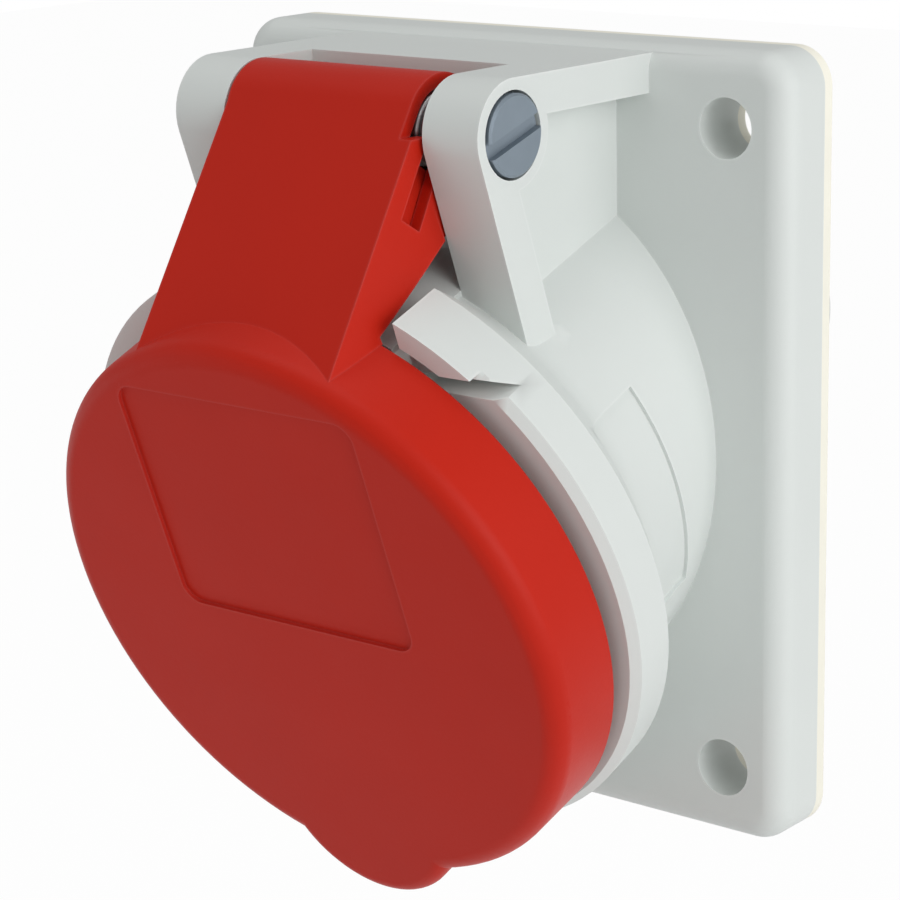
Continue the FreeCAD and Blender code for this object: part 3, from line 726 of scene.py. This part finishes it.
class SOCKET_OT_seals(bpy.types.Operator):
    """Finish the flange seal and the lid's ring seal"""
    bl_idname = "socket.seals"
    bl_label = "Seals"

    def execute(self, context):
        setup = settings()
        sheet = soft_seal("flange_seal_sheet", setup.skin.flange_seal[:])
        soften_node("flange_gasket", sheet, setup.edges.seal)
        ring = soft_seal("lid_seal_ring", setup.skin.lid_seal[:])
        soften_node("lid_gasket", ring, setup.edges.seal, body="lid")
        return {"FINISHED"}


class SOCKET_OT_hinge_pin(bpy.types.Operator):
    """Finish the slotted hinge pin"""
    bl_idname = "socket.hinge_pin"
    bl_label = "Hinge pin"

    def execute(self, context):
        setup = settings()
        steel = worked_metal("pin_passivated_steel", setup.metal.pin[:], PIN_ROUGH, ACROSS,
                             metallic=0.55)
        soften_node("hinge_pin", steel, setup.edges.metal)
        return {"FINISHED"}


class SOCKET_OT_hinge_spring(bpy.types.Operator):
    """Wind the torsion spring on the hinge pin"""
    bl_idname = "socket.hinge_spring"
    bl_label = "Hinge spring"

    def execute(self, context):
        setup = settings()
        sizes = setup.spring
        wire = worked_metal("spring_wire_steel", setup.metal.spring[:], WIRE_ROUGH, ACROSS)
        _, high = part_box("hinge_spring")
        start_turn = math.atan2(ARM_OUT.z, ARM_OUT.y)
        turns = sizes.turns + (math.degrees(start_turn) - 90.0) / 360.0
        height = sizes.pitch * turns
        start_x = high.x - sizes.wire / 2 - height
        start = Vector((start_x, PIN_AXIS.y, PIN_AXIS.z))
        lid_start = start + ARM_OUT * sizes.radius
        rear_start = start + ACROSS * height + UPRIGHT * sizes.radius
        piece = grown("hinge_spring_wire", spring_tree(), {
            "Wire Radius": sizes.wire / 2, "Coil Radius": sizes.radius, "Height": height,
            "Turns": turns, "Start": start, "Start Turn": start_turn,
            "Lid Leg Start": lid_start, "Lid Leg End": lid_start + ARM_DOWN * sizes.lid_leg,
            "Rear Leg Start": rear_start,
            "Rear Leg End": Vector((rear_start.x, high.y, rear_start.z)), "Material": wire})
        stand_for("hinge_spring", piece, wire)
        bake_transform(piece)
        return {"FINISHED"}


class SOCKET_OT_contacts(bpy.types.Operator):
    """Finish the contact carrier, the five sleeves and their spring rings"""
    bl_idname = "socket.contacts"
    bl_label = "Contacts"

    def execute(self, context):
        setup = settings()
        insert = moulded_plastic("carrier_black_skin", setup.skin.carrier[:], CARRIER_ROUGH,
                                 tint=0.08)
        soften_node("contact_carrier", insert, setup.edges.seal)
        brass = worked_metal("contact_turned_brass", setup.metal.brass[:], CONTACT_ROUGH,
                             MOUTH_OUT)
        for name in CONTACTS:
            soften_node("contact_sleeve_" + name, brass, setup.edges.metal)
        ring = worked_metal("contact_ring_steel", setup.metal.spring[:], CONTACT_ROUGH,
                            MOUTH_OUT)
        dress("contact_spring_rings", ring)
        return {"FINISHED"}


class SOCKET_OT_terminals(bpy.types.Operator):
    """Finish the rear terminal body and its five clamp cages"""
    bl_idname = "socket.terminals"
    bl_label = "Terminals"

    def execute(self, context):
        setup = settings()
        rear = moulded_plastic("terminal_grey_skin", setup.skin.terminal[:], TERMINAL_ROUGH,
                               tint=0.03)
        soften_node("terminal_body", rear, setup.edges.seal)
        plated = worked_metal("cage_nickel_plate", setup.metal.nickel[:], CAGE_ROUGH, ACROSS)
        for name in CONTACTS:
            soften_node("terminal_cage_" + name, plated, setup.edges.metal)
        return {"FINISHED"}


class SOCKET_OT_screws(bpy.types.Operator):
    """Finish the clamp, carrier and body screws"""
    bl_idname = "socket.screws"
    bl_label = "Screws"

    def execute(self, context):
        setup = settings()
        zinc = worked_metal("screw_zinc_plate", setup.metal.zinc[:], SCREW_ROUGH, MOUTH_OUT)
        for node in ("terminal_screws", "carrier_screws", "body_screw"):
            soften_node(node, zinc, setup.edges.metal)
        return {"FINISHED"}


def look_along(name, data, place, right, up):
    """Put a camera or lamp at a place with its own right and up directions."""
    thing = new_object(name, data)
    turn = Matrix((right, up, right.cross(up))).transposed()
    thing.matrix_world = Matrix.Translation(place) @ turn.to_4x4()
    return thing


def aim_lamp(name, place, target, size, power):
    """A square soft lamp that faces a target."""
    lamp = bpy.data.lights.new(name, "AREA")
    lamp.shape = "SQUARE"
    lamp.size = size
    lamp.energy = power
    back = (place - target).normalized()
    right = UPRIGHT.cross(back).normalized()
    look_along(name, lamp, place, right, back.cross(right))


def seen_white(tree, lit, level):
    """A shader that the camera and clear reflections see as plain white, over its lit self."""
    path = tree.nodes.new("ShaderNodeLightPath").outputs
    seen = maths(tree, "MAXIMUM", path["Is Camera Ray"],
                 maths(tree, "MAXIMUM", path["Is Glossy Ray"], path["Is Transmission Ray"]))
    white = add(tree, "ShaderNodeEmission", {"Color": (1.0, 1.0, 1.0, 1.0), "Strength": 1.0})
    whitened = add(tree, "ShaderNodeMixShader", {
        0: maths(tree, "MULTIPLY", seen, level), 1: lit, 2: white.outputs[0]})
    return whitened.outputs[0]


class SOCKET_OT_studio(bpy.types.Operator):
    """Set up the pale floor, the soft lamps and the camera"""
    bl_idname = "socket.studio"
    bl_label = "Studio"

    def execute(self, context):
        light = settings().studio
        low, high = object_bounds()
        middle = (Vector(low) + Vector(high)) / 2
        self.pale_floor(low[2] - FLOOR_DROP)
        self.surround(context, light.surround)
        for name, offset, size in LAMPS:
            aim_lamp(name + "_lamp", middle + offset, middle, size, getattr(light, name))
        self.camera(context)
        context.scene.view_settings.view_transform = "Standard"
        return {"FINISHED"}

    def surround(self, context, level):
        """Light from all round, which the camera sees as plain white."""
        world = bpy.data.worlds.new("white_surround")
        context.scene.world = world
        world.use_nodes = True
        tree = world.node_tree
        tree.nodes.clear()
        path = tree.nodes.new("ShaderNodeLightPath").outputs
        seen = maths(tree, "MAXIMUM", path["Is Camera Ray"], path["Is Transmission Ray"])
        sky = add(tree, "ShaderNodeBackground", {
            "Color": (1.0, 1.0, 1.0, 1.0), "Strength": spread(tree, seen, level, 1.0)})
        output = tree.nodes.new("ShaderNodeOutputWorld")
        tree.links.new(sky.outputs[0], output.inputs["Surface"])

    def pale_floor(self, height):
        """A wide pale sheet under the part, at a height."""
        half = FLOOR_HALF
        mesh = bpy.data.meshes.new("pale_floor")
        corners = [(-half, -half, height), (half, -half, height), (half, half, height),
                   (-half, half, height)]
        mesh.from_pydata(corners, [], [(0, 1, 2, 3)])
        floor = new_object("pale_floor", mesh)
        material, tree, shader, where = new_material("floor_white", FLOOR_GREY)
        clouds = noise(tree, where, FLOOR_CLOUDS)
        tree.links.new(blend_colour(tree, clouds, *FLOOR_GREYS), shader.inputs["Base Color"])
        shader.inputs["Roughness"].default_value = FLOOR_ROUGH
        output = next(node for node in tree.nodes if node.type == "OUTPUT_MATERIAL")
        tree.links.new(seen_white(tree, shader.outputs["BSDF"], FLOOR_WHITENESS),
                       output.inputs["Surface"])
        mesh.materials.append(material)
        floor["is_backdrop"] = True

    def camera(self, context):
        """The camera of the reference view."""
        lens = bpy.data.cameras.new("front_left_view")
        lens.sensor_width = SENSOR_MM
        lens.lens = FOCAL_MM
        lens.clip_start = NEAREST
        context.scene.camera = look_along("front_left_view", lens, CAMERA_PLACE,
                                          CAMERA_RIGHT, CAMERA_UP)


OPERATORS = (SOCKET_OT_housing, SOCKET_OT_lid, SOCKET_OT_seals, SOCKET_OT_hinge_pin,
             SOCKET_OT_hinge_spring, SOCKET_OT_contacts, SOCKET_OT_terminals,
             SOCKET_OT_screws, SOCKET_OT_studio)


class VIEW3D_PT_socket(bpy.types.Panel):
    """The socket's pieces and settings, in the sidebar"""
    bl_idname = "VIEW3D_PT_socket"
    bl_label = "Panel Socket"
    bl_space_type = "VIEW_3D"
    bl_region_type = "UI"
    bl_category = "Socket"

    def draw(self, context):
        layout = self.layout
        for operator in OPERATORS:
            layout.operator(operator.bl_idname)
        setup = context.scene.panel_socket
        for group in (setup.skin, setup.metal, setup.edges, setup.spring, setup.studio):
            box = layout.box()
            for name in group.__annotations__:
                box.prop(group, name)


CLASSES = (MouldedSkin, MetalFinish, EdgeSizes, SpringSizes, StudioLight, SocketSettings,
           *OPERATORS, VIEW3D_PT_socket)


def register():
    for entry in CLASSES:
        bpy.utils.register_class(entry)
    bpy.types.Scene.panel_socket = PointerProperty(type=SocketSettings)


def unregister():
    del bpy.types.Scene.panel_socket
    for entry in reversed(CLASSES):
        bpy.utils.unregister_class(entry)


def main():
    register()
    bpy.ops.socket.housing()
    bpy.ops.socket.lid()
    bpy.ops.socket.seals()
    bpy.ops.socket.hinge_pin()
    bpy.ops.socket.hinge_spring()
    bpy.ops.socket.contacts()
    bpy.ops.socket.terminals()
    bpy.ops.socket.screws()
    bpy.ops.socket.studio()


if __name__ == "__main__":
    main()
